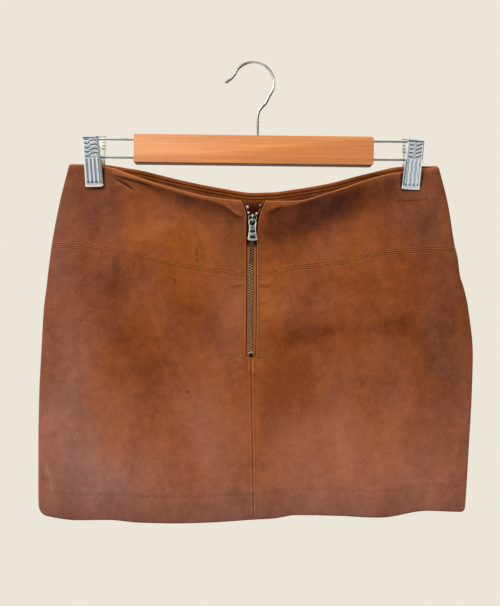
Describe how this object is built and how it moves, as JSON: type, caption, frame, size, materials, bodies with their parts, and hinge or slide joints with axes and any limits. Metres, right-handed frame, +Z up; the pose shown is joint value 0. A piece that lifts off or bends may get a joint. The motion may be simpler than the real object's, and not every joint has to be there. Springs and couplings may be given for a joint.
{
  "type": "suede mini skirt on a wooden clip hanger",
  "caption": "Suede mini skirt with a shaped front yoke and an exposed metal zip, hung open at waist and hem from the pinch clips of a wooden bar hanger with a wire hook.",
  "frame": {"origin": "inner top of the hanger's hook, where a rail or nail carries it", "axes": "+Z up, -Y out of the skirt's front, +X to the right as seen from the front"},
  "size_m": [0.456, 0.0407, 0.4799],
  "materials": {
    "suede": "matte brushed nap, mottled mid brown",
    "facing_suede": "matte, dark orange-brown",
    "zip_tape": "woven, orange-tan",
    "zip_metal": "grey-beige nickel, satin",
    "dark_zip_metal": "dark, satin",
    "beech": "clear lacquer, fine grain along the bar",
    "chrome": "bright plated",
    "steel_wire": "drawn wire"
  },
  "bodies": {
    "skirt": {"front_yoke_left": "suede", "front_yoke_right": "suede", "front_panel_left": "suede", "front_panel_right": "suede", "back_yoke": "suede", "back_panel": "suede", "back_facing": "facing_suede", "zip_tape_left": "zip_tape", "zip_tape_right": "zip_tape", "zip_chain": "zip_metal", "zip_top_stop_left": "zip_metal", "zip_top_stop_right": "zip_metal", "zip_bottom_stop": "dark_zip_metal", "zip_slider": "zip_metal", "hanger_bar": "beech", "hanger_hook": "chrome", "hanger_wire_left": "steel_wire", "hanger_wire_right": "steel_wire", "clip_left_front": "chrome", "clip_left_back": "chrome", "clip_left_spring": "steel_wire", "clip_right_front": "chrome", "clip_right_back": "chrome", "clip_right_spring": "steel_wire"},
    "pull_tab": {"zip_pull_tab": "zip_metal"}
  },
  "joints": [
    {"name": "pull_tab_hinge", "type": "hinge", "parent": "skirt", "child": "pull_tab", "pos_m": [0.00169, -0.02148, -0.16684], "axis": [-1, 0, 0], "range_deg": [0, 150]}
  ]
}
